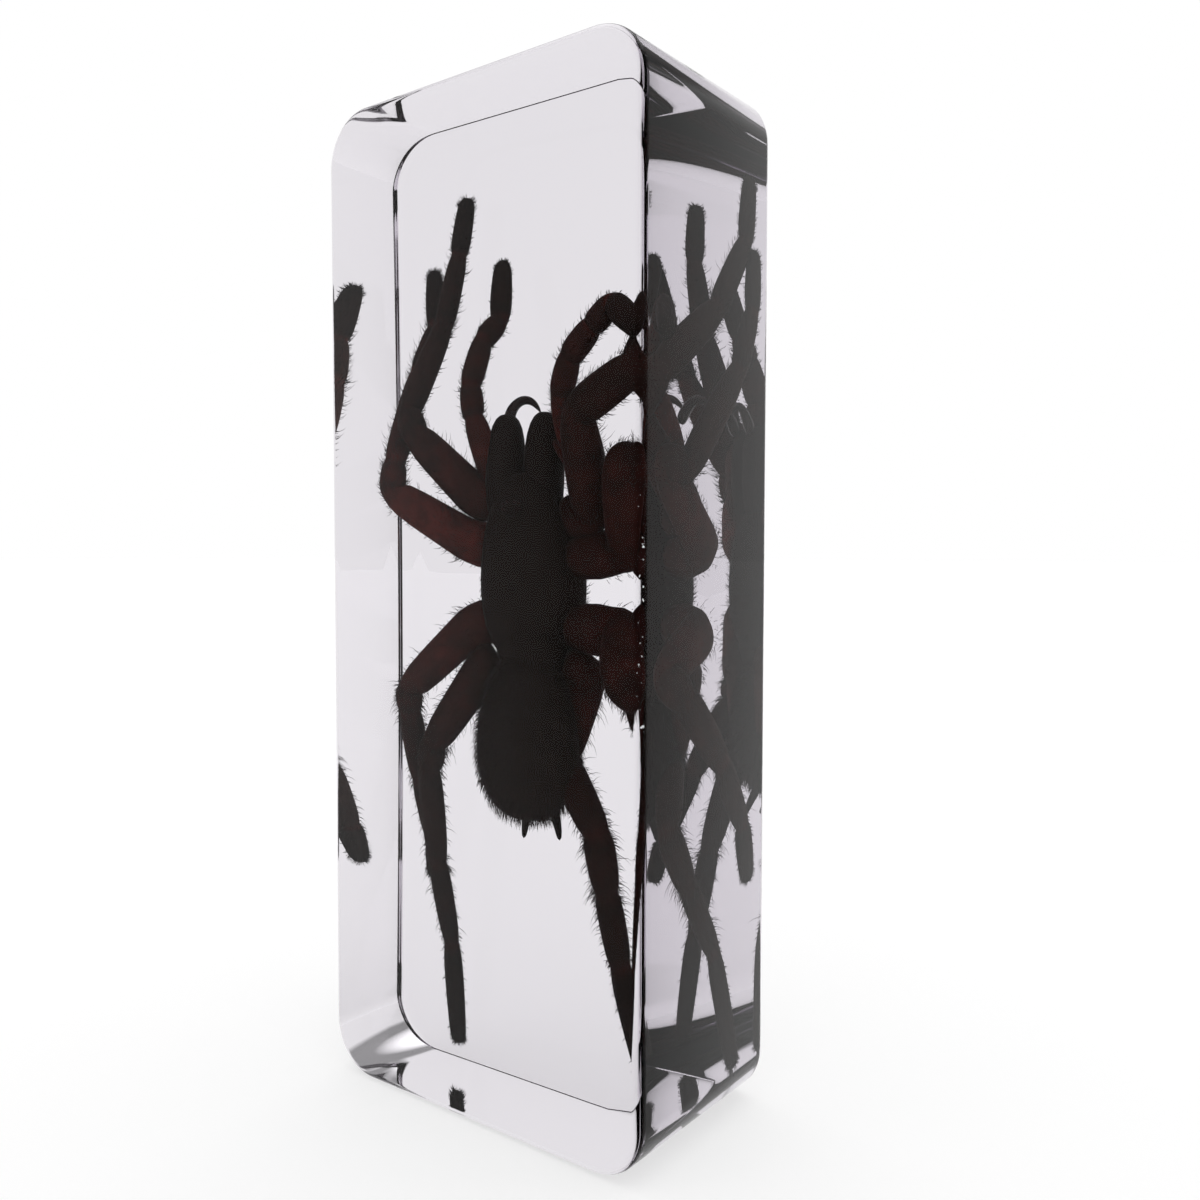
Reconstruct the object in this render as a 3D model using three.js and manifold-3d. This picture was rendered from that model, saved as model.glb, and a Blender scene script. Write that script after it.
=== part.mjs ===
// Tarantula cast in an upright clear resin block. Millimetres, +Z up, the block's broad face towards -Y.
// The resin was poured in two layers with the spider laid between them, so each layer is a solid of its
// own, with one half of the pocket that the spider lies in.
import * as THREE from 'three';
import { mergeVertices } from 'three/addons/utils/BufferGeometryUtils.js';
import Module from 'manifold-3d';

// Resin block
const BLOCK_WIDTH = 44;
const BLOCK_DEPTH = 24;
const BLOCK_HEIGHT = 110;
const CORNER_RADIUS = 6;
const EDGE_FILLET = 1;
const CORNER_STEPS = 6;
const FILLET_STEPS = 2;
const POUR_LINE_Y = 1;
const POCKET_CLEARANCE = 0.35;

// Body: the spider's middle plane, its turn about the vertical, then the places, half sizes and forms of
// its egg-shaped parts
const MIDDLE_X = 1.6;
const BODY_TURN = THREE.MathUtils.degToRad(12);
const CARAPACE = { centre: [MIDDLE_X, 1, 59], halfSize: [5.8, 3.7, 10.2], taper: 0.1, bluntness: 0.75 };
const STERNUM = { centre: [2.6, 3.4, 57.5], halfSize: [5.8, 4.2, 9], taper: 0.05, bluntness: 0.8 };
const ABDOMEN = { centre: [2.2, 0.6, 41.3], halfSize: [6.7, 6.2, 9.7], taper: 0.15, bluntness: 0.85 };
const EYE_MOUND = { centre: [MIDDLE_X, -2.5, 65.5], halfSize: [1.5, 0.9, 1.1], taper: 0, bluntness: 1 };
const BODY_SIDES = 14;
const BODY_STEPS = 8;
const SMALL_SIDES = 8;
const SMALL_STEPS = 4;
const WAIST = { points: [[2.2, 1.8, 54], [2.4, 1.4, 46]], radii: [4.6, 5] };

// Jaws: a stout lobe on each side, with a curved fang that points to the belly side
const JAWS = [
  [[-1.6, 1.8, 64], [-1.6, 2.4, 70], [-1.6, 2.9, 74.4]],
  [[3.2, 2.8, 64], [3.2, 3.4, 70], [3.2, 3.9, 74.4]],
];
const JAW_RADII = [2.4, 2.55, 2];
const JAW_DEPTH_SCALE = 1.3;
const FANGS = [
  [[-2.2, 4.6, 74.4], [-2.4, 5.6, 76.4], [-1.3, 6.8, 77.6], [-0.3, 8.3, 77.3], [0.2, 9.3, 76]],
  [[3.9, 5.8, 74.4], [4.4, 6.9, 76.4], [5, 8.2, 77.5], [5.6, 9.6, 77.2], [6, 10.3, 76]],
];
const FANG_RADII = [0.9, 0.75, 0.6, 0.45, 0.12];

// Spinnerets under the abdomen
const SPINNERETS = [
  [[1.8, 2, 34.5], [0.8, 3.6, 31.4], [0, 4.6, 29]],
  [[4.9, 2, 34.5], [5.1, 3.6, 31.6], [5, 4.6, 29.5]],
];
const SPINNERET_RADII = [0.8, 0.6, 0.35];

// Limbs: the joints of each one from its hip by way of knee, shin, ankle and wrist to its claw
const LEGS = [
  [[-5.7, 1.5, 67], [-13, -2, 74], [-14.5, -1, 76.5], [-11.5, 4.5, 86.5], [-10.3, 7, 94.5], [-9.3, 7.5, 100]],
  [[-6.5, 1.5, 62], [-16, -3.5, 67.5], [-16, -2.5, 71], [-15.5, 4.5, 81.5], [-14.5, 8, 87], [-15.5, 9.8, 93]],
  [[-6, 1.5, 52.5], [-14, -2.5, 45], [-14, -2, 42.5], [-15, 3.5, 34], [-15.3, 8.5, 26], [-15.8, 9.8, 22.2]],
  [[-4.5, 2, 48], [-10.5, -1.5, 39], [-11.5, -1, 36], [-12, 3, 24.5], [-11.2, 6, 15], [-11.2, 8.5, 3.5]],
  [[9.5, 4, 64.8], [12, -7, 74.5], [19, -7, 78.3], [19, 2.7, 85.4], [19, 8.3, 93.4], [19, 9, 99.5]],
  [[14, 4.2, 60.8], [16.3, -5, 69.5], [17.3, -1.3, 69], [18.5, 7.5, 80], [19.4, 9.6, 86.4], [19.4, 9.8, 92]],
  [[13.8, 3.4, 52.2], [16.2, -4.6, 48.5], [17.4, -1.6, 46], [18, 5, 38.3], [18.3, 9, 31], [18.5, 9.8, 25.5]],
  [[8.5, 4.6, 48], [5.8, 3.4, 38.5], [12.4, -1.4, 32], [12.1, 2.2, 25.5], [11.8, 7.2, 17], [14.5, 9.2, 4.5]],
];
const PALPS = [
  [[-3.5, 2, 69.5], [-5, 0, 75.5], [-5.5, 0, 79], [-4.5, 2, 84], [-3, 4, 86], [-3.5, 6, 92]],
  [[7.3, 3, 71.5], [7, 0, 77], [8.8, -1.5, 80.6], [12.4, -3, 83.2], [15.2, -4, 85], [19.2, -6.3, 81.9]],
];
// How stout each leg is
const LEG_GIRTHS = [1, 1, 1, 1, 1.1, 1.1, 1.15, 1.05];
// Half thickness at the joints, and at the belly of the segment that follows each joint
const LEG_JOINT_RADII = [2.65, 2, 1.8, 1.5, 1.25, 1.1];
const LEG_BELLY_RADII = [2.3, 2, 1.8, 1.5, 1.4];
const PALP_JOINT_RADII = [1.6, 1.5, 1.5, 1.4, 1.3, 1.1];
const PALP_BELLY_RADII = [1.7, 1.6, 1.6, 1.5, 1.5];
const SEGMENT_BELLY = 0.4;
const COXA_RADIUS = 3;
const COXA_REACH = 4;
const COXA_Y = 2.6;
const LIMB_SIDES = 8;
const ROUNDED_END = 0.6;

const wasm = await Module();
wasm.setup();

// A closed three.js geometry as a solid that can be joined and cut
function toSolid(geometry) {
  const bare = geometry.clone();
  bare.deleteAttribute('normal');
  bare.deleteAttribute('uv');
  const merged = mergeVertices(bare, 1e-5);
  const triVerts = new Uint32Array(merged.index.array);
  const vertProperties = new Float32Array(merged.attributes.position.array);
  return new wasm.Manifold(new wasm.Mesh({ numProp: 3, vertProperties, triVerts }));
}

function toGeometry(solid) {
  const mesh = solid.getMesh();
  const geometry = new THREE.BufferGeometry();
  geometry.setAttribute('position', new THREE.BufferAttribute(new Float32Array(mesh.vertProperties), 3));
  geometry.setIndex(new THREE.BufferAttribute(new Uint32Array(mesh.triVerts), 1));
  geometry.computeVertexNormals();
  return geometry;
}

function join(solids) {
  return solids.reduce((whole, solid) => whole.add(solid));
}

// A lathe-turned taper with round ends, bent so that its rings stand on the given points, thicker by grow
function bentTaper(points, radii, grow, depthScale = 1) {
  const centres = points.map((point) => new THREE.Vector3(...point));
  const steps = centres.slice(1).map((centre, i) => centre.clone().sub(centres[i]).normalize());
  const tangents = centres.map((_, i) => {
    const before = steps[Math.max(i - 1, 0)];
    const after = steps[Math.min(i, steps.length - 1)];
    return before.clone().add(after).normalize();
  });
  const reach = (radius) => ROUNDED_END * radius + grow;
  centres.unshift(centres[0].clone().addScaledVector(tangents[0], -reach(radii[0])));
  centres.push(centres.at(-1).clone().addScaledVector(tangents.at(-1), reach(radii.at(-1))));
  tangents.unshift(tangents[0]);
  tangents.push(tangents.at(-1));
  const ringRadii = [0, ...radii.map((radius) => radius + grow), 0];
  const profile = ringRadii.map((radius, ring) => new THREE.Vector2(radius, ring));
  const geometry = new THREE.LatheGeometry(profile, LIMB_SIDES);
  const turn = new THREE.Quaternion().setFromUnitVectors(new THREE.Vector3(0, 1, 0), tangents[0]);
  const turns = tangents.map((tangent, ring) => {
    const bend = new THREE.Quaternion().setFromUnitVectors(tangents[Math.max(ring - 1, 0)], tangent);
    return turn.premultiply(bend).clone();
  });
  const place = geometry.attributes.position;
  const offset = new THREE.Vector3();
  for (let i = 0; i < place.count; i += 1) {
    const ring = i % profile.length;
    offset.set(place.getX(i), 0, depthScale * place.getZ(i)).applyQuaternion(turns[ring]).add(centres[ring]);
    place.setXYZ(i, offset.x, offset.y, offset.z);
  }
  return toSolid(geometry);
}

// A blunt egg, flattened to its half sizes, narrower at the top by its taper, and turned with the body
function egg({ centre, halfSize, taper, bluntness }, grow, sides = BODY_SIDES, steps = BODY_STEPS) {
  const [halfWidth, halfDepth, halfHeight] = halfSize.map((size) => size + grow);
  const profile = [];
  for (let step = 0; step <= steps; step += 1) {
    const height = -Math.cos((Math.PI * step) / steps);
    const radius = Math.sin((Math.PI * step) / steps) ** bluntness * (1 - taper * height);
    profile.push(new THREE.Vector2(step % steps === 0 ? 0 : radius, height));
  }
  const geometry = new THREE.LatheGeometry(profile, sides);
  geometry.scale(halfWidth, halfHeight, halfDepth);
  geometry.rotateX(Math.PI / 2);
  geometry.rotateZ(BODY_TURN);
  geometry.translate(...centre);
  return toSolid(geometry);
}

// One limb from a coxa inside the body out to the claw, with a belly in every segment
function limb(joints, jointRadii, bellyRadii, grow, girth = 1) {
  const hip = joints[0];
  const outward = COXA_REACH * Math.sign(hip[0] - MIDDLE_X);
  const points = [[MIDDLE_X + outward, COXA_Y, hip[2] - Math.sign(hip[2] - CARAPACE.centre[2])]];
  const radii = [COXA_RADIUS];
  joints.forEach((joint, i) => {
    points.push(joint);
    radii.push(girth * jointRadii[i]);
    if (i < bellyRadii.length) {
      points.push(joint.map((value, axis) => value + SEGMENT_BELLY * (joints[i + 1][axis] - value)));
      radii.push(girth * bellyRadii[i]);
    }
  });
  return bentTaper(points, radii, grow);
}

// The whole spider, thicker by grow on every side
function spider(grow) {
  return join([
    egg(CARAPACE, grow),
    egg(STERNUM, grow),
    egg(ABDOMEN, grow),
    egg(EYE_MOUND, grow, SMALL_SIDES, SMALL_STEPS),
    bentTaper(WAIST.points, WAIST.radii, grow),
    ...JAWS.map((points) => bentTaper(points, JAW_RADII, grow, JAW_DEPTH_SCALE)),
    ...FANGS.map((points) => bentTaper(points, FANG_RADII, grow)),
    ...SPINNERETS.map((points) => bentTaper(points, SPINNERET_RADII, grow)),
    ...LEGS.map((joints, i) => limb(joints, LEG_JOINT_RADII, LEG_BELLY_RADII, grow, LEG_GIRTHS[i])),
    ...PALPS.map((joints) => limb(joints, PALP_JOINT_RADII, PALP_BELLY_RADII, grow)),
  ]);
}

// The block: a tall outline with round corners, extruded through its depth with a fillet on both broad faces
function block() {
  const halfWidth = BLOCK_WIDTH / 2 - EDGE_FILLET;
  const top = BLOCK_HEIGHT - EDGE_FILLET;
  const bottom = EDGE_FILLET;
  const radius = CORNER_RADIUS - EDGE_FILLET;
  const outline = new THREE.Shape();
  outline.absarc(halfWidth - radius, bottom + radius, radius, -Math.PI / 2, 0);
  outline.absarc(halfWidth - radius, top - radius, radius, 0, Math.PI / 2);
  outline.absarc(radius - halfWidth, top - radius, radius, Math.PI / 2, Math.PI);
  outline.absarc(radius - halfWidth, bottom + radius, radius, Math.PI, 1.5 * Math.PI);
  const geometry = new THREE.ExtrudeGeometry(outline, {
    depth: BLOCK_DEPTH - 2 * EDGE_FILLET,
    curveSegments: CORNER_STEPS,
    bevelEnabled: true,
    bevelThickness: EDGE_FILLET,
    bevelSize: EDGE_FILLET,
    bevelSegments: FILLET_STEPS,
  });
  geometry.rotateX(Math.PI / 2);
  geometry.translate(0, BLOCK_DEPTH / 2 - EDGE_FILLET, 0);
  return toSolid(geometry);
}

// A box that holds the block's whole width and height on one side of the pour line
function layer(lowY, highY) {
  const geometry = new THREE.BoxGeometry(2 * BLOCK_WIDTH, highY - lowY, 2 * BLOCK_HEIGHT);
  geometry.translate(0, (lowY + highY) / 2, BLOCK_HEIGHT / 2);
  return toSolid(geometry);
}

function named(name, solid, material) {
  const mesh = new THREE.Mesh(toGeometry(solid), material);
  mesh.name = name;
  return mesh;
}

const resin = new THREE.MeshStandardMaterial({
  color: 0xe4e0e6,
  roughness: 0.04,
  metalness: 0,
  transparent: true,
  opacity: 0.3,
});
const bristlyHide = new THREE.MeshStandardMaterial({ color: 0x2a211f, roughness: 0.7, metalness: 0 });

const emptyBlock = block().subtract(spider(POCKET_CLEARANCE));
const part = new THREE.Group();
part.add(named('resin_front_half', emptyBlock.intersect(layer(-BLOCK_DEPTH, POUR_LINE_Y)), resin));
part.add(named('resin_back_half', emptyBlock.intersect(layer(POUR_LINE_Y, BLOCK_DEPTH)), resin.clone()));
part.add(named('tarantula', spider(0), bristlyHide));

export default part;
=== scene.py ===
import math
import random

import bmesh
import bpy
from bpy.props import FloatProperty, FloatVectorProperty, IntProperty, PointerProperty
from bpy.types import Operator, Panel, PropertyGroup
from mathutils import Matrix, Vector


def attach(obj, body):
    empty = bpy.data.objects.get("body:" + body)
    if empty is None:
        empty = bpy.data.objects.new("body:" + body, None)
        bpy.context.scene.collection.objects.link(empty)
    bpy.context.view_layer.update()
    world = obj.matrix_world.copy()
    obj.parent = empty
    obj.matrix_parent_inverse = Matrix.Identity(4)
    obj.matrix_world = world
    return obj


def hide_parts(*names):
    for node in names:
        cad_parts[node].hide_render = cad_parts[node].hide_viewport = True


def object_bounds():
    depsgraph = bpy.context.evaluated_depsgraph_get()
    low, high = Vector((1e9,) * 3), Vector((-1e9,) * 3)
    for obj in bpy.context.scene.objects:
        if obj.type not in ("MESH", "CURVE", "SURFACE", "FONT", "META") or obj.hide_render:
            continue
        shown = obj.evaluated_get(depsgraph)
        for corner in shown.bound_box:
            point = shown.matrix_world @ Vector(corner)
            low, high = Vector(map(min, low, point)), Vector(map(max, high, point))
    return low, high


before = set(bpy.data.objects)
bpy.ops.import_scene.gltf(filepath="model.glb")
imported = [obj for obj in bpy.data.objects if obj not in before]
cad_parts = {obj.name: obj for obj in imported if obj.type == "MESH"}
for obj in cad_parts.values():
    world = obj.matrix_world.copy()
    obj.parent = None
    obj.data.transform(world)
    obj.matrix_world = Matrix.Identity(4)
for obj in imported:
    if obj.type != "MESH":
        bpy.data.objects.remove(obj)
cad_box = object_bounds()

bl_info = {
    "name": "Tarantula in Resin",
    "version": (1, 0, 0),
    "blender": (4, 5, 0),
    "location": "3D Viewport > Sidebar > Specimen",
    "description": "Builds a dried tarantula cast in an upright clear resin block",
    "category": "Add Mesh",
}

MM = 0.001
UP = Vector((0, 0, 1))

# Body of the spider in millimetres: the middle plane, then the places, half sizes and forms of its
# egg-shaped parts. The body is turned a little about the vertical, so its right side lies deeper.
MIDDLE_X = 1.6
BODY_TURN_DEG = 12
CARAPACE = {"centre": (MIDDLE_X, 1, 59), "half_size": (5.6, 3.7, 10.2), "taper": 0.1, "bluntness": 0.75}
STERNUM = {"centre": (2.6, 3.4, 57.5), "half_size": (5.8, 4.2, 9), "taper": 0.05, "bluntness": 0.8}
ABDOMEN = {"centre": (2.2, 0.6, 41.3), "half_size": (6.4, 6, 9.5), "taper": 0.15, "bluntness": 0.85}
EYE_MOUND = {"centre": (MIDDLE_X, -2.5, 65.5), "half_size": (1.5, 0.9, 1.1), "taper": 0, "bluntness": 1}
# Eyes by their slant across and up the mound, with their radii
EYES = [
    (-1.1, 0.5, 0.2), (-0.4, 0.5, 0.26), (0.4, 0.5, 0.26), (1.1, 0.5, 0.2),
    (-1.2, -0.3, 0.22), (-0.6, -0.35, 0.16), (0.6, -0.35, 0.16), (1.2, -0.3, 0.22),
]
WAIST = [((2.2, 1.8, 54), 4.6), ((2.4, 1.4, 46), 5)]
# How near a direction may come to an egg's poles before it counts as one
POLE_GAP = 1e-4

# Pit and grooves in the back of the carapace: depths in millimetres, places and reaches as shares of its
# half size
FOVEA_HEIGHT = -0.2
FOVEA_RADIUS = 0.1
FOVEA_DEPTH = 0.6
GROOVE_COUNT = 8
GROOVE_SHARPNESS = 6
GROOVE_START = 0.2
GROOVE_END = 0.9
GROOVE_DEPTH = 0.35

# Jaws and fangs as rings with their radii, from the left to the right one
JAWS = [
    [
        ((-1.6, 1.8, 64), 2.4), ((-1.6, 2.2, 68), 2.5), ((-1.6, 2.6, 72), 2.4),
        ((-1.6, 3, 74.5), 1.9), ((-1.6, 3.2, 75.7), 1),
    ],
    [
        ((3.2, 2.8, 64), 2.4), ((3.2, 3.2, 68), 2.5), ((3.2, 3.6, 72), 2.4),
        ((3.2, 4, 74.5), 1.9), ((3.2, 4.2, 75.7), 1),
    ],
]
JAW_DEPTH_SCALE = 1.3
FANGS = [
    [
        ((-2.2, 4.6, 74.4), 0.9), ((-2.4, 5.6, 76.4), 0.75), ((-1.3, 6.8, 77.6), 0.6),
        ((-0.3, 8.3, 77.3), 0.45), ((0.2, 9.3, 76), 0.1),
    ],
    [
        ((3.9, 5.8, 74.4), 0.9), ((4.4, 6.9, 76.4), 0.75), ((5, 8.2, 77.5), 0.6),
        ((5.6, 9.6, 77.2), 0.45), ((6, 10.3, 76), 0.1),
    ],
]

SPINNERETS = [
    [((1.8, 2, 34.5), 0.8), ((0.8, 3.6, 31.4), 0.6), ((0, 4.6, 29), 0.3)],
    [((4.9, 2, 34.5), 0.8), ((5.1, 3.6, 31.6), 0.6), ((5, 4.6, 29.5), 0.3)],
]

# Limb joints in millimetres, from the hip by way of knee, shin, ankle and wrist to the claw. The left legs
# come first, from the front one to the hind one, then the right ones.
LEGS = [
    [
        (-5.7, 1.5, 67), (-13, -2, 74), (-14.5, -1, 76.5),
        (-11.5, 4.5, 86.5), (-10.3, 7, 94.5), (-9.3, 7.5, 100),
    ],
    [
        (-6.5, 1.5, 62), (-16, -3.5, 67.5), (-16, -2.5, 71),
        (-15.5, 4.5, 81.5), (-14.5, 8, 87), (-15.5, 9.8, 93),
    ],
    [
        (-6, 1.5, 52.5), (-14, -2.5, 45), (-14, -2, 42.5),
        (-15, 3.5, 34), (-15.3, 8.5, 26), (-15.8, 9.8, 22.2),
    ],
    [
        (-4.5, 2, 48), (-10.5, -1.5, 39), (-11.5, -1, 36),
        (-12, 3, 24.5), (-11.2, 6, 15), (-11.2, 8.5, 3.5),
    ],
    [
        (9.5, 4, 64.8), (12, -7, 74.5), (19, -7, 78.3),
        (19, 2.7, 85.4), (19, 8.3, 93.4), (19, 9, 99.5),
    ],
    [
        (14, 4.2, 60.8), (16.3, -5, 69.5), (17.3, -1.3, 69),
        (18.5, 7.5, 80), (19.4, 9.6, 86.4), (19.4, 9.8, 92),
    ],
    [
        (13.8, 3.4, 52.2), (16.2, -4.6, 48.5), (17.4, -1.6, 46),
        (18, 5, 38.3), (18.3, 9, 31), (18.5, 9.8, 25.5),
    ],
    [
        (8.5, 4.6, 48), (5.8, 3.4, 38.5), (12.4, -1.4, 32),
        (12.1, 2.2, 25.5), (11.8, 7.2, 17), (14.5, 9.2, 4.5),
    ],
]
PALPS = [
    [
        (-3.5, 2, 69.5), (-5, 0, 75.5), (-5.5, 0, 79),
        (-4.5, 2, 84), (-3, 4, 86), (-3.5, 6, 92),
    ],
    [
        (7.3, 3, 71.5), (7, 0, 77), (8.8, -1.5, 80.6),
        (12.4, -3, 83.2), (15.2, -4, 85), (19.2, -6.3, 81.9),
    ],
]
# How stout each leg is, how rusty, and how many wisps of long hair stand on each of its millimetres
LEG_GIRTHS = (1, 1, 1, 1, 1.1, 1.1, 1.15, 1.05)
LEG_RUST = (0.7, 1.8, 1, 0.5, 0.35, 0.5, 0.5, 0.4)
LEG_WISPS = (1, 1, 1, 3, 1, 1, 2.5, 4)
LEG_JOINT_RADII = (2.65, 2, 1.8, 1.5, 1.25, 1.1)
LEG_BELLY_RADII = (2.3, 2, 1.8, 1.5, 1.4)
PALP_JOINT_RADII = (1.6, 1.5, 1.5, 1.4, 1.3, 1.1)
PALP_BELLY_RADII = (1.7, 1.6, 1.6, 1.5, 1.5)
# How rusty the hide is at the coxa, at the joints and at each segment from the femur to the tarsus. Beside
# its joints a segment has only a share of its rust.
COXA_RUST = 0.3
JOINT_RUST = 0.5
SEGMENT_RUST = (0.75, 0.35, 0.3, 0.2, 0.05)
RUST_FADE = 0.6
# How far the hips and the other joints are pinched, and where a segment widens, is widest and narrows again
HIP_PINCH = 0.95
JOINT_PINCH = 0.72
WIDENING_SHARE = 0.09
BELLY_SHARE = 0.4
NARROWING_SHARE = 0.9
# Rings that round off a limb: how far past the claw joint they lie and how wide they are, in its radii
CLAW_RINGS = ((0.4, 0.85), (0.75, 0.45))
COXA_RADIUS = 3
COXA_REACH = 4
COXA_Y = 2.6
LIMB_SIDES = 16
# Rings of a limb's last segment and its end, which carry no long hair
BARE_RINGS = 7
# Hair on a limb starts halfway along the coxa and stops just short of the last ring, counted in rings
FIRST_HAIR_RING = 0.5
LAST_HAIR_GAP = 1.001

# Coats of hair: the shortest and the longest hair in millimetres, and how far its tip droops
LEG_DOWN = (0.2, 0.6, 0.3)
LEG_BRISTLES = (0.6, 1.4, 0.5)
LEG_WISP = (1.3, 2.2, 0.4)
PALP_DOWN = (0.15, 0.35, 0.3)
PALP_BRISTLES = (0.4, 1, 0.5)
# Hair on the body: the part, the way it flows, how many hairs, and then as above
BODY_HAIR = [
    (ABDOMEN, -UP, 6000, 0.5, 1.3, 0.5),
    (CARAPACE, -UP, 1500, 0.2, 0.5, 0.4),
    (STERNUM, UP, 1400, 0.4, 1, 0.3),
]
# A hair: how much its heading strays, how far it leans, how deep it is rooted, the shares of its length
# before and after its bend, and its thickness at root, bend and tip
HAIR_SEED = 23
HAIR_STRAY = 0.25
HAIR_LEAN = (0.5, 1.3)
HAIR_ROOT_DEPTH = 0.1
HAIR_STRETCHES = (0.55, 0.45)
HAIR_TAPER = (1, 0.75, 0.15)
# Resin left between a hair and the block's faces, in millimetres
WALL_GAP = 0.4

# Resin and hide bend light nearly alike, so a surface sunk in resin has almost no gloss
SUNK_SPECULAR = 0.03
HORN_SPECULAR = 0.2
HORN_DARK = (0.008, 0.006, 0.006)
HORN_LIGHT = (0.03, 0.014, 0.01)
# How strongly the rust shows in its patches, and how much of the hide has worn to the colour of the hairs
RUST_STRENGTH = 1.6
WORN_SHARE = 0.5
# Sizes of the noise in the finishes, as ripples to the metre
RUST_PATCHES = 450
HIDE_GRAIN = 3500
HORN_STREAKS = 2500
HAIR_PATCHES = 900
CHIP_GRAIN = 2400

# Small chips along the block's near upright edge: how far they reach from it, between which heights, above
# which level of their noise they show, and their colour
CHIP_REACH = 0.68
CHIP_HEIGHTS = (44, 66)
CHIP_LEVEL = 0.66
CHIP_WHITE = (0.7, 0.7, 0.72)

# Brightness of the white surroundings by the sine of the height above the horizon: a dim ring between the
# walls and the lamp overhead draws the streaks along the block's rims
SKY_RINGS = [(0, 1), (0.54, 1), (0.62, 0.35), (0.75, 0.35), (0.84, 1.5), (1, 1.5)]
# Half the floor's width in metres, and how far it lies below the block in millimetres
FLOOR_HALF_SIZE = 6
FLOOR_DROP = 0.1

# Camera of the photo, in millimetres and degrees
CAMERA_PLACE = (81.13, -95.84, 60.96)
CAMERA_TURN = (87.408, -0.092, 37.34)
CAMERA_LENS = 33.455


class ResinSettings(PropertyGroup):
    """Sizes and clearness of the cast block"""

    corner_radius: FloatProperty(
        name="Corner radius",
        description="Round of the tall outline's corners",
        default=6 * MM,
        unit="LENGTH",
    )
    front_rim_radius: FloatProperty(
        name="Front rim radius",
        description="Round along the front face's rim",
        default=1 * MM,
        unit="LENGTH",
    )
    back_side_radius: FloatProperty(
        name="Back side radius",
        description="Round along the back's upright edges",
        default=1.4 * MM,
        unit="LENGTH",
    )
    back_rim_radius: FloatProperty(
        name="Back rim radius",
        description="Round along the back's top and bottom edges",
        default=0.1 * MM,
        unit="LENGTH",
    )
    refraction: FloatProperty(
        name="Refraction",
        description="Index of refraction of the resin",
        default=1.57,
    )
    gloss: FloatProperty(
        name="Gloss",
        description="Mirror strength of the resin seen straight on, as a share of its natural one",
        default=0.02,
    )
    tint: FloatVectorProperty(
        name="Tint",
        description="Colour that the resin lets through",
        default=(0.64, 0.6, 0.66),
        subtype="COLOR",
    )
    tint_density: FloatProperty(
        name="Tint density",
        description="Strength of the tint per metre",
        default=28,
    )


class SpiderSettings(PropertyGroup):
    """Colours and coat of the tarantula"""

    hide: FloatVectorProperty(
        name="Hide",
        description="Colour of the dark hide",
        default=(0.006, 0.0043, 0.0038),
        subtype="COLOR",
    )
    rust: FloatVectorProperty(
        name="Rust",
        description="Colour of the reddish femurs and joints",
        default=(0.12, 0.02, 0.015),
        subtype="COLOR",
    )
    coat: FloatVectorProperty(
        name="Coat",
        description="Colour of the hairs",
        default=(0.028, 0.015, 0.011),
        subtype="COLOR",
    )
    hair_width: FloatProperty(
        name="Hair width",
        description="Thickness of a hair at its root",
        default=0.06 * MM,
        unit="LENGTH",
    )
    leg_down_per_mm: IntProperty(
        name="Leg down",
        description="Short hairs on each millimetre of a leg or palp",
        default=32,
    )
    leg_bristles_per_mm: FloatProperty(
        name="Leg bristles",
        description="Long hairs on each millimetre of a leg or palp",
        default=8,
    )


class StageSettings(PropertyGroup):
    """Floor and light around the block"""

    floor: FloatVectorProperty(
        name="Floor",
        description="Colour of the pale floor",
        default=(0.4, 0.4, 0.4),
        subtype="COLOR",
    )
    floor_glow: FloatProperty(
        name="Floor glow",
        description="Light that shines up through the floor as on a light table",
        default=0.6,
    )
    sky_light: FloatProperty(
        name="Sky light",
        description="Strength of the surroundings",
        default=1,
    )


class Wire:
    """A number's socket in a node tree. Arithmetic on it adds Math nodes."""

    def __init__(self, sheet, socket):
        self.sheet = sheet
        self.socket = socket

    def _math(self, operation, first, second):
        return self.sheet.node("ShaderNodeMath", {"operation": operation}, {0: first, 1: second})

    def __add__(self, other):
        return self._math("ADD", self, other)

    def __radd__(self, other):
        return self._math("ADD", other, self)

    def __sub__(self, other):
        return self._math("SUBTRACT", self, other)

    def __rsub__(self, other):
        return self._math("SUBTRACT", other, self)

    def __mul__(self, other):
        return self._math("MULTIPLY", self, other)

    def __rmul__(self, other):
        return self._math("MULTIPLY", other, self)

    def __gt__(self, other):
        return self._math("GREATER_THAN", self, other)

    def __lt__(self, other):
        return self._math("LESS_THAN", self, other)


class NodeSheet:
    """A node tree that is written in Python expressions."""

    def __init__(self, tree):
        self.tree = tree
        tree.nodes.clear()

    def node(self, kind, settings=None, sockets=None, output=0):
        made = self.tree.nodes.new(kind)
        for name, value in (settings or {}).items():
            if name == "stops":
                self._set_stops(made.color_ramp, value)
            else:
                setattr(made, name, value)
        for name, value in (sockets or {}).items():
            if isinstance(value, Wire):
                self.tree.links.new(value.socket, made.inputs[name])
            else:
                made.inputs[name].default_value = value
        return Wire(self, made.outputs[output]) if made.outputs else None

    @staticmethod
    def _set_stops(ramp, stops):
        while len(ramp.elements) < len(stops):
            ramp.elements.new(1)
        for element, (position, colour) in zip(ramp.elements, stops):
            element.position = position
            element.color = colour

    def mix(self, factor, first, second):
        sockets = {"Factor": factor, 6: first, 7: second}
        return self.node("ShaderNodeMix", {"data_type": "RGBA"}, sockets, 2)

    def noise(self, place, scale, detail=2):
        sockets = {"Vector": place, "Scale": scale, "Detail": detail}
        return self.node("ShaderNodeTexNoise", None, sockets)

    def object_place(self):
        return self.node("ShaderNodeTexCoord", None, None, "Object")


def opaque(colour):
    return (*colour, 1)


def new_material(name):
    material = bpy.data.materials.new(name)
    material.use_nodes = True
    return material, NodeSheet(material.node_tree)


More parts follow.
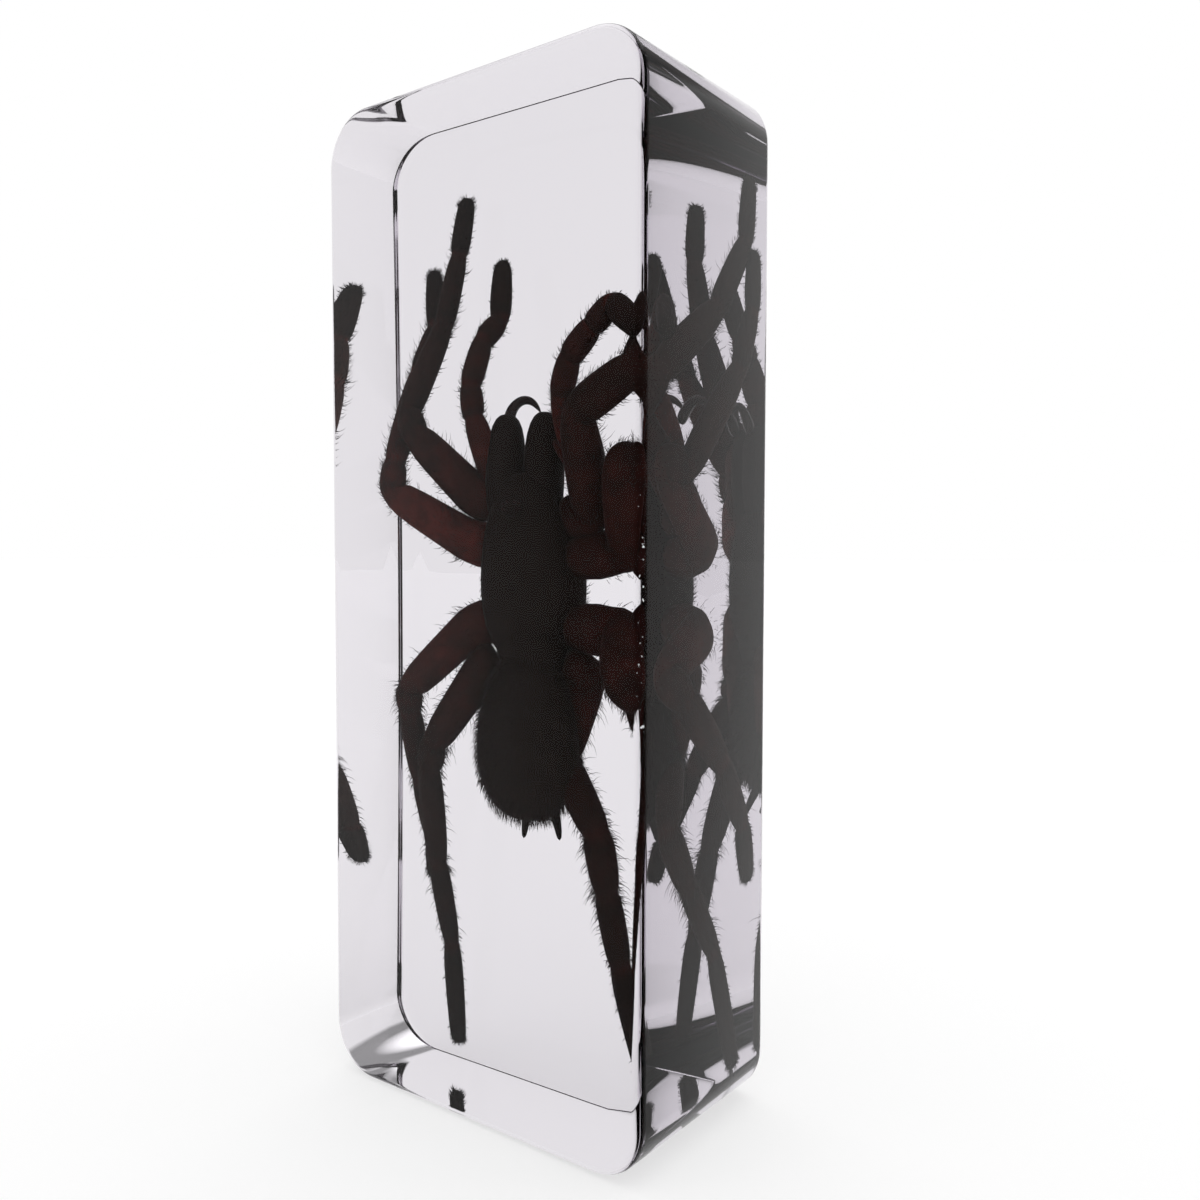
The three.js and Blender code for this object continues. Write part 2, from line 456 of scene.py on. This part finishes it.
def hide_material(spider):
    """Dark hide with a fine grain, reddish in patches where the mesh is marked with rust."""
    material, sheet = new_material("spider_hide")
    place = sheet.object_place()
    rust = sheet.node("ShaderNodeAttribute", {"attribute_name": "rust"}, None, "Fac")
    patches = sheet.noise(place, RUST_PATCHES)
    fine = sheet.noise(place, HIDE_GRAIN, detail=4)
    rusty = sheet.mix(rust * patches * RUST_STRENGTH, opaque(spider.hide), opaque(spider.rust))
    worn = sheet.mix(fine * WORN_SHARE, rusty, opaque(spider.coat))
    bump = sheet.node("ShaderNodeBump", None, {"Strength": 0.3, "Distance": 0.15 * MM, "Height": fine})
    sockets = {
        "Base Color": worn,
        "Roughness": 0.5 + 0.3 * fine,
        "Specular IOR Level": SUNK_SPECULAR,
        "Normal": bump,
    }
    shader = sheet.node("ShaderNodeBsdfPrincipled", None, sockets)
    sheet.node("ShaderNodeOutputMaterial", None, {"Surface": shader})
    return material


def horn_material(name):
    """Dark glossy horn with faint streaks, for fangs and eyes."""
    material, sheet = new_material(name)
    streaks = sheet.noise(sheet.object_place(), HORN_STREAKS)
    colour = sheet.mix(streaks, opaque(HORN_DARK), opaque(HORN_LIGHT))
    sockets = {
        "Base Color": colour,
        "Roughness": 0.15 + 0.15 * streaks,
        "Specular IOR Level": HORN_SPECULAR,
    }
    shader = sheet.node("ShaderNodeBsdfPrincipled", None, sockets)
    sheet.node("ShaderNodeOutputMaterial", None, {"Surface": shader})
    return material


def hair_material(spider):
    """Hairs that change in patches from the hide's colour to the coat's."""
    material, sheet = new_material("spider_hair")
    patches = sheet.noise(sheet.object_place(), HAIR_PATCHES)
    colour = sheet.mix(patches, opaque(spider.hide), opaque(spider.coat))
    sockets = {"Base Color": colour, "Roughness": 0.45, "Specular IOR Level": SUNK_SPECULAR}
    shader = sheet.node("ShaderNodeBsdfPrincipled", None, sockets)
    sheet.node("ShaderNodeOutputMaterial", None, {"Surface": shader})
    return material


def resin_material(resin):
    """Clear tinted resin, frosted where its near edge is chipped."""
    material, sheet = new_material("cast_resin")
    sockets = {
        "Base Color": (1, 1, 1, 1),
        "Roughness": 0.0,
        "IOR": resin.refraction,
        "Specular Tint": (resin.gloss, resin.gloss, resin.gloss, 1),
        "Transmission Weight": 1,
    }
    clear = sheet.node("ShaderNodeBsdfPrincipled", None, sockets)
    chipped = {"Base Color": opaque(CHIP_WHITE), "Roughness": 0.5}
    frosted = sheet.node("ShaderNodeBsdfPrincipled", None, chipped)
    surface = sheet.node("ShaderNodeMixShader", None, {0: edge_chips(sheet), 1: clear, 2: frosted})
    absorption = sheet.node(
        "ShaderNodeVolumeAbsorption", None, {"Color": opaque(resin.tint), "Density": resin.tint_density}
    )
    sheet.node("ShaderNodeOutputMaterial", None, {"Surface": surface, "Volume": absorption})
    return material


def edge_chips(sheet):
    """A mask of the small chips along the upright edge between the front and the right face."""
    low, high = cad_box
    place = sheet.object_place()
    x, y, z = (sheet.node("ShaderNodeSeparateXYZ", None, {0: place}, name) for name in "XYZ")
    near = (high.x - x) + (y - low.y) < CHIP_REACH * MM
    level = (z > CHIP_HEIGHTS[0] * MM) * (z < CHIP_HEIGHTS[1] * MM)
    return near * level * (sheet.noise(place, CHIP_GRAIN, detail=5) > CHIP_LEVEL)


def finished_piece(name, mesh_builder, material, nodes, levels=0):
    """A mesh object from a bmesh that mesh_builder fills in millimetres, dressed and tied to the frame."""
    bm = bmesh.new()
    mesh_builder(bm)
    bmesh.ops.recalc_face_normals(bm, faces=bm.faces)
    bmesh.ops.scale(bm, vec=(MM, MM, MM), verts=bm.verts)
    mesh = bpy.data.meshes.new(name)
    bm.to_mesh(mesh)
    bm.free()
    mesh.shade_smooth()
    piece = bpy.data.objects.new(name, mesh)
    bpy.context.scene.collection.objects.link(piece)
    if levels:
        smooth = piece.modifiers.new("smooth", "SUBSURF")
        smooth.levels = levels
        smooth.render_levels = levels
    return dressed(piece, material, nodes)


def dressed(piece, material, nodes):
    """Give a piece its material, and tie it to the frame in place of the nodes."""
    piece.data.materials.append(material)
    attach(piece, "root")
    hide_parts(*nodes)
    return piece


def egg_offset(shape, direction):
    """The way from an egg's centre to its skin along a unit direction, before the body's turn."""
    half_x, half_y, half_z = shape["half_size"]
    level = math.hypot(direction.x, direction.y)
    widen = (1 - shape["taper"] * direction.z) * level ** (shape["bluntness"] - 1) if level > POLE_GAP else 0
    return Vector((direction.x * half_x * widen, direction.y * half_y * widen, direction.z * half_z))


def placed_on_body(shape, offset):
    """The place of an offset from an egg's centre, after the body's turn."""
    return Vector(shape["centre"]) + Matrix.Rotation(math.radians(BODY_TURN_DEG), 3, "Z") @ offset


def add_egg(bm, shape, rings=24, press=None):
    """Draw a ball out to an egg-shaped part of the body, and press a relief into it where one is given."""
    for vert in bmesh.ops.create_uvsphere(bm, u_segments=2 * rings, v_segments=rings, radius=1)["verts"]:
        offset = egg_offset(shape, vert.co.copy())
        vert.co = placed_on_body(shape, press(offset) if press else offset)


def carapace_grooves(offset):
    """Press the middle pit and the grooves that fan out from it into the back of the carapace."""
    if offset.y > 0:
        return offset
    half_size = CARAPACE["half_size"]
    across = offset.x / half_size[0]
    along = offset.z / half_size[2] - FOVEA_HEIGHT
    reach = math.hypot(across, along)
    angle = math.atan2(across, along)
    pit = FOVEA_DEPTH * math.exp(-((reach / FOVEA_RADIUS) ** 2))
    groove = max(0, math.cos(GROOVE_COUNT * angle)) ** GROOVE_SHARPNESS
    fade = min(1, reach / GROOVE_START) * max(0, 1 - reach / GROOVE_END)
    return offset + Vector((0, pit + GROOVE_DEPTH * groove * fade, 0))


def ring_frames(stations):
    """The place and turn of a ring at every station, halfway between the stretches that meet there."""
    centres = [Vector(centre) for centre, _ in stations]
    steps = [(after - before).normalized() for before, after in zip(centres, centres[1:])]
    pairs = zip(steps[:1] + steps, steps + steps[-1:])
    tangents = [(before + after).normalized() for before, after in pairs]
    turn = UP.rotation_difference(tangents[0])
    frames = []
    for centre, before, tangent in zip(centres, tangents[:1] + tangents, tangents):
        turn = before.rotation_difference(tangent) @ turn
        frames.append((centre, turn.copy()))
    return frames


def add_tube(bm, stations, sides=LIMB_SIDES, depth_scale=1, rust=None):
    """Bridge a chain of rings into a closed tube, and mark each ring's rust where it is given."""
    layer = bm.verts.layers.float.get("rust") or bm.verts.layers.float.new("rust")
    loops = []
    for i, (centre, turn) in enumerate(ring_frames(stations)):
        squash = Matrix.Diagonal((1, depth_scale, 1, 1))
        place = Matrix.Translation(centre) @ turn.to_matrix().to_4x4() @ squash
        ring = bmesh.ops.create_circle(bm, segments=sides, radius=stations[i][1], matrix=place)["verts"]
        for vert in ring:
            vert[layer] = rust[i] if rust else 0
        loops.append(list({edge for vert in ring for edge in vert.link_edges}))
    for before, after in zip(loops, loops[1:]):
        bmesh.ops.bridge_loops(bm, edges=before + after)
    for end in (loops[0], loops[-1]):
        bmesh.ops.edgeloop_fill(bm, edges=end)


def between(first, second, share):
    return tuple(a + share * (b - a) for a, b in zip(first, second))


def limb_stations(joints, joint_radii, belly_radii, girth=1):
    """Stations and rust along a limb: a coxa out of the body, then segments that swell between the
    pinched joints, then a rounded end.
    """
    hip = joints[0]
    outward = math.copysign(COXA_REACH, hip[0] - MIDDLE_X)
    lean = math.copysign(1, hip[2] - CARAPACE["centre"][2])
    joint_radii = [girth * radius for radius in joint_radii]
    belly_radii = [girth * radius for radius in belly_radii]
    stations = [((MIDDLE_X + outward, COXA_Y, hip[2] - lean), COXA_RADIUS)]
    rust = [COXA_RUST]
    for i, belly in enumerate(belly_radii):
        start, end = joints[i], joints[i + 1]
        stations.append((start, (JOINT_PINCH if i else HIP_PINCH) * joint_radii[i]))
        stations.append((between(start, end, WIDENING_SHARE), (joint_radii[i] + belly) / 2))
        stations.append((between(start, end, BELLY_SHARE), belly))
        stations.append((between(start, end, NARROWING_SHARE), (joint_radii[i + 1] + belly) / 2))
        faded = RUST_FADE * SEGMENT_RUST[i]
        rust += [JOINT_RUST, faded, SEGMENT_RUST[i], faded]
    claw, before = Vector(joints[-1]), Vector(joints[-2])
    along = (claw - before).normalized()
    stations.append((joints[-1], joint_radii[-1]))
    rust.append(0)
    for reach, width in CLAW_RINGS:
        stations.append((tuple(claw + reach * joint_radii[-1] * along), width * joint_radii[-1]))
        rust.append(0)
    return stations, rust


def build_body(bm):
    add_egg(bm, CARAPACE, rings=40, press=carapace_grooves)
    for shape in (STERNUM, ABDOMEN):
        add_egg(bm, shape)
    add_egg(bm, EYE_MOUND, rings=10)
    add_tube(bm, WAIST)
    for stations in SPINNERETS:
        add_tube(bm, stations, sides=10)


def build_eyes(bm):
    """Two rows of four beads on the eye mound."""
    for x, z, radius in EYES:
        offset = egg_offset(EYE_MOUND, Vector((x, -1, z)).normalized())
        place = Matrix.Translation(placed_on_body(EYE_MOUND, offset))
        bmesh.ops.create_uvsphere(bm, u_segments=12, v_segments=8, radius=radius, matrix=place)


def build_jaws(bm):
    for stations in JAWS:
        add_tube(bm, stations, sides=24, depth_scale=JAW_DEPTH_SCALE)


def build_fangs(bm):
    for stations in FANGS:
        add_tube(bm, stations, sides=12)


def build_legs(bm):
    for joints, girth, redness in zip(LEGS, LEG_GIRTHS, LEG_RUST):
        stations, rust = limb_stations(joints, LEG_JOINT_RADII, LEG_BELLY_RADII, girth)
        add_tube(bm, stations, rust=[redness * share for share in rust])


def build_palps(bm):
    for joints in PALPS:
        stations, rust = limb_stations(joints, PALP_JOINT_RADII, PALP_BELLY_RADII)
        add_tube(bm, stations, rust=rust)


def build_block(bm):
    """The frame's box with the corners of its tall outline rounded, and each rim marked with its radius as
    a share of the radius at the back's sides.
    """
    resin = bpy.context.scene.resin
    low, high = cad_box
    size = (high - low) / MM
    bmesh.ops.create_cube(bm, size=1)
    bmesh.ops.scale(bm, vec=size, verts=bm.verts)
    bmesh.ops.translate(bm, vec=(low + high) / 2 / MM, verts=bm.verts)
    corners = [edge for edge in bm.edges if abs((edge.verts[0].co - edge.verts[1].co).y) > size.y / 2]
    bmesh.ops.bevel(
        bm,
        geom=corners,
        offset=resin.corner_radius / MM,
        segments=24,
        profile=0.5,
        affect="EDGES",
        material=-1,
    )
    layer = bm.edges.layers.float.new("bevel_weight_edge")
    for edge in bm.edges:
        along = (edge.verts[0].co - edge.verts[1].co).normalized()
        if abs(along.y) > 0.5:
            continue
        radius = resin.front_rim_radius
        if edge.verts[0].co.y > 0:
            radius = resin.back_rim_radius + along.z**2 * (resin.back_side_radius - resin.back_rim_radius)
        edge[layer] = radius / resin.back_side_radius


def inside_block(place):
    """Whether a place in millimetres keeps the gap from all faces of the block."""
    low, high = cad_box
    return all(a / MM + WALL_GAP < b < c / MM - WALL_GAP for a, b, c in zip(low, place, high))


class HairCoat:
    """Hairs gathered as thin tapered curves, then made one mesh."""

    def __init__(self, name, width):
        self.name = name
        self.random = random.Random(HAIR_SEED)
        self.curve = bpy.data.curves.new(name, "CURVE")
        self.curve.dimensions = "3D"
        self.curve.bevel_depth = width / 2
        self.curve.bevel_resolution = 0

    def grow(self, root, outward, flow, length, droop):
        """One hair from a root in millimetres, leaning from the outward direction towards the flow. A hair
        that would come too near the block's faces is left out.
        """
        stray = Vector([self.random.gauss(0, HAIR_STRAY) for _ in range(3)])
        lean = self.random.uniform(*HAIR_LEAN)
        heading = (outward + lean * flow + stray).normalized()
        tip_heading = (heading + droop * flow).normalized()
        to_bend, to_tip = HAIR_STRETCHES
        bend = root + to_bend * length * heading
        tip = bend + to_tip * length * tip_heading
        if not inside_block(tip):
            return
        points = (root - HAIR_ROOT_DEPTH * outward, bend, tip)
        spline = self.curve.splines.new("POLY")
        spline.points.add(len(points) - len(spline.points))
        for point, place, radius in zip(spline.points, points, HAIR_TAPER):
            point.co = (*(place * MM), 1)
            point.radius = radius

    def grow_on_limb(self, stations, count, shortest, longest, droop):
        """Hairs all round a limb, from halfway along its coxa, that flow towards its end."""
        frames = ring_frames(stations)
        for _ in range(count):
            spot = self.random.uniform(FIRST_HAIR_RING, len(frames) - LAST_HAIR_GAP)
            i, share = int(spot), spot % 1
            centre = frames[i][0].lerp(frames[i + 1][0], share)
            radius = stations[i][1] + share * (stations[i + 1][1] - stations[i][1])
            flow = (frames[i + 1][0] - frames[i][0]).normalized()
            around = frames[i][1].slerp(frames[i + 1][1], share)
            angle = self.random.uniform(0, 2 * math.pi)
            outward = around @ Vector((math.cos(angle), math.sin(angle), 0))
            length = self.random.uniform(shortest, longest)
            self.grow(centre + radius * outward, outward, flow, length, droop)

    def grow_on_egg(self, shape, flow, count, shortest, longest, droop):
        """Hairs all over an egg-shaped part of the body."""
        for _ in range(count):
            direction = Vector([self.random.gauss(0, 1) for _ in range(3)]).normalized()
            root = placed_on_body(shape, egg_offset(shape, direction))
            outward = (root - Vector(shape["centre"])).normalized()
            length = self.random.uniform(shortest, longest)
            self.grow(root, outward, flow, length, droop)

    def to_piece(self, material):
        """Make the gathered curves one mesh, and dress it."""
        curve_piece = bpy.data.objects.new(self.name, self.curve)
        bpy.context.scene.collection.objects.link(curve_piece)
        bpy.context.view_layer.update()
        drawn = curve_piece.evaluated_get(bpy.context.evaluated_depsgraph_get())
        mesh = bpy.data.meshes.new_from_object(drawn)
        bpy.data.objects.remove(curve_piece)
        piece = bpy.data.objects.new(self.name, mesh)
        bpy.context.scene.collection.objects.link(piece)
        return dressed(piece, material, ["tarantula"])


def limb_length(joints):
    return sum((Vector(b) - Vector(a)).length for a, b in zip(joints, joints[1:]))


class SPECIMEN_OT_body(Operator):
    """Make the spider's body with its carapace, abdomen and spinnerets, and the eyes on its mound"""

    bl_idname = "specimen.body"
    bl_label = "Body"

    def execute(self, context):
        hide = hide_material(context.scene.spider)
        finished_piece("body", build_body, hide, ["tarantula"], levels=1)
        finished_piece("eyes", build_eyes, horn_material("eye_bead"), ["tarantula"])
        return {"FINISHED"}


class SPECIMEN_OT_jaws(Operator):
    """Make the two jaws and their fangs"""

    bl_idname = "specimen.jaws"
    bl_label = "Jaws"

    def execute(self, context):
        hide = bpy.data.materials["spider_hide"]
        horn = horn_material("fang_horn")
        finished_piece("jaws", build_jaws, hide, ["tarantula"], levels=1)
        finished_piece("fangs", build_fangs, horn, ["tarantula"], levels=2)
        return {"FINISHED"}


class SPECIMEN_OT_limbs(Operator):
    """Make the eight legs and the two palps"""

    bl_idname = "specimen.limbs"
    bl_label = "Limbs"

    def execute(self, context):
        hide = bpy.data.materials["spider_hide"]
        finished_piece("legs", build_legs, hide, ["tarantula"], levels=1)
        finished_piece("palps", build_palps, hide, ["tarantula"], levels=1)
        return {"FINISHED"}


class SPECIMEN_OT_hair(Operator):
    """Grow the short down and the long bristles on legs, palps and body"""

    bl_idname = "specimen.hair"
    bl_label = "Hair"

    def execute(self, context):
        spider = context.scene.spider
        material = hair_material(spider)
        legs = HairCoat("leg_hair", spider.hair_width)
        bristles = HairCoat("leg_bristles", spider.hair_width)
        for joints, girth, wisps in zip(LEGS, LEG_GIRTHS, LEG_WISPS):
            stations, _ = limb_stations(joints, LEG_JOINT_RADII, LEG_BELLY_RADII, girth)
            length = limb_length(joints)
            shaggy = stations[:-BARE_RINGS]
            legs.grow_on_limb(stations, int(length * spider.leg_down_per_mm), *LEG_DOWN)
            bristles.grow_on_limb(shaggy, int(length * spider.leg_bristles_per_mm), *LEG_BRISTLES)
            bristles.grow_on_limb(shaggy, int(length * wisps), *LEG_WISP)
        for joints in PALPS:
            stations, _ = limb_stations(joints, PALP_JOINT_RADII, PALP_BELLY_RADII)
            length = limb_length(joints)
            shaggy = stations[:-BARE_RINGS]
            bristles.grow_on_limb(stations, int(length * spider.leg_down_per_mm), *PALP_DOWN)
            bristles.grow_on_limb(shaggy, int(length * spider.leg_bristles_per_mm), *PALP_BRISTLES)
        body = HairCoat("body_hair", spider.hair_width)
        for patch in BODY_HAIR:
            body.grow_on_egg(*patch)
        for coat in (legs, bristles, body):
            coat.to_piece(material)
        return {"FINISHED"}


class SPECIMEN_OT_block(Operator):
    """Cast the clear resin block around the spider"""

    bl_idname = "specimen.block"
    bl_label = "Resin block"

    def execute(self, context):
        resin = context.scene.resin
        halves = ["resin_front_half", "resin_back_half"]
        block = finished_piece("resin_block", build_block, resin_material(resin), halves)
        rims = block.modifiers.new("rims", "BEVEL")
        rims.limit_method = "WEIGHT"
        rims.width = resin.back_side_radius
        rims.segments = 8
        return {"FINISHED"}


class SPECIMEN_OT_stage(Operator):
    """Set the floor, the light and the camera"""

    bl_idname = "specimen.stage"
    bl_label = "Stage"

    def execute(self, context):
        settings = context.scene.stage
        add_floor(settings)
        add_surroundings(settings)
        add_camera()
        context.scene.view_settings.view_transform = "Standard"
        return {"FINISHED"}


def add_floor(settings):
    bm = bmesh.new()
    bmesh.ops.create_grid(bm, x_segments=1, y_segments=1, size=FLOOR_HALF_SIZE)
    bmesh.ops.translate(bm, vec=(0, 0, -FLOOR_DROP * MM), verts=bm.verts)
    mesh = bpy.data.meshes.new("floor")
    bm.to_mesh(mesh)
    bm.free()
    floor = bpy.data.objects.new("floor", mesh)
    bpy.context.scene.collection.objects.link(floor)
    material, sheet = new_material("pale_floor")
    sockets = {
        "Base Color": opaque(settings.floor),
        "Roughness": 0.8,
        "Emission Color": (1, 1, 1, 1),
        "Emission Strength": settings.floor_glow,
    }
    shader = sheet.node("ShaderNodeBsdfPrincipled", None, sockets)
    sheet.node("ShaderNodeOutputMaterial", None, {"Surface": shader})
    floor.data.materials.append(material)


def add_surroundings(settings):
    """White surroundings that change only with the height, with a lamp overhead."""
    world = bpy.data.worlds.new("studio")
    bpy.context.scene.world = world
    world.use_nodes = True
    sheet = NodeSheet(world.node_tree)
    place = sheet.node("ShaderNodeTexCoord", None, None, "Generated")
    height = sheet.node("ShaderNodeSeparateXYZ", None, {0: place}, "Z")
    stops = [(level, (light, light, light, 1)) for level, light in SKY_RINGS]
    rings = sheet.node("ShaderNodeValToRGB", {"stops": stops}, {"Fac": height})
    background = sheet.node("ShaderNodeBackground", None, {"Color": rings, "Strength": settings.sky_light})
    sheet.node("ShaderNodeOutputWorld", None, {"Surface": background})


def add_camera():
    data = bpy.data.cameras.new("camera")
    data.lens = CAMERA_LENS
    data.clip_start = MM
    camera = bpy.data.objects.new("camera", data)
    camera.location = Vector(CAMERA_PLACE) * MM
    camera.rotation_euler = [math.radians(turn) for turn in CAMERA_TURN]
    bpy.context.scene.collection.objects.link(camera)
    bpy.context.scene.camera = camera


OPERATORS = (
    SPECIMEN_OT_body,
    SPECIMEN_OT_jaws,
    SPECIMEN_OT_limbs,
    SPECIMEN_OT_hair,
    SPECIMEN_OT_block,
    SPECIMEN_OT_stage,
)


class SPECIMEN_PT_panel(Panel):
    """The specimen's pieces and settings in the 3D view's sidebar"""

    bl_idname = "SPECIMEN_PT_panel"
    bl_label = "Tarantula in Resin"
    bl_space_type = "VIEW_3D"
    bl_region_type = "UI"
    bl_category = "Specimen"

    def draw(self, context):
        for operator in OPERATORS:
            self.layout.operator(operator.bl_idname)
        for settings in (context.scene.resin, context.scene.spider, context.scene.stage):
            for name in settings.__annotations__:
                self.layout.prop(settings, name)


CLASSES = (ResinSettings, SpiderSettings, StageSettings, *OPERATORS, SPECIMEN_PT_panel)


def register():
    for cls in CLASSES:
        bpy.utils.register_class(cls)
    bpy.types.Scene.resin = PointerProperty(type=ResinSettings)
    bpy.types.Scene.spider = PointerProperty(type=SpiderSettings)
    bpy.types.Scene.stage = PointerProperty(type=StageSettings)


def unregister():
    del bpy.types.Scene.stage
    del bpy.types.Scene.spider
    del bpy.types.Scene.resin
    for cls in reversed(CLASSES):
        bpy.utils.unregister_class(cls)


def main():
    register()
    bpy.ops.specimen.body()
    bpy.ops.specimen.jaws()
    bpy.ops.specimen.limbs()
    bpy.ops.specimen.hair()
    bpy.ops.specimen.block()
    bpy.ops.specimen.stage()


if __name__ == "__main__":
    main()
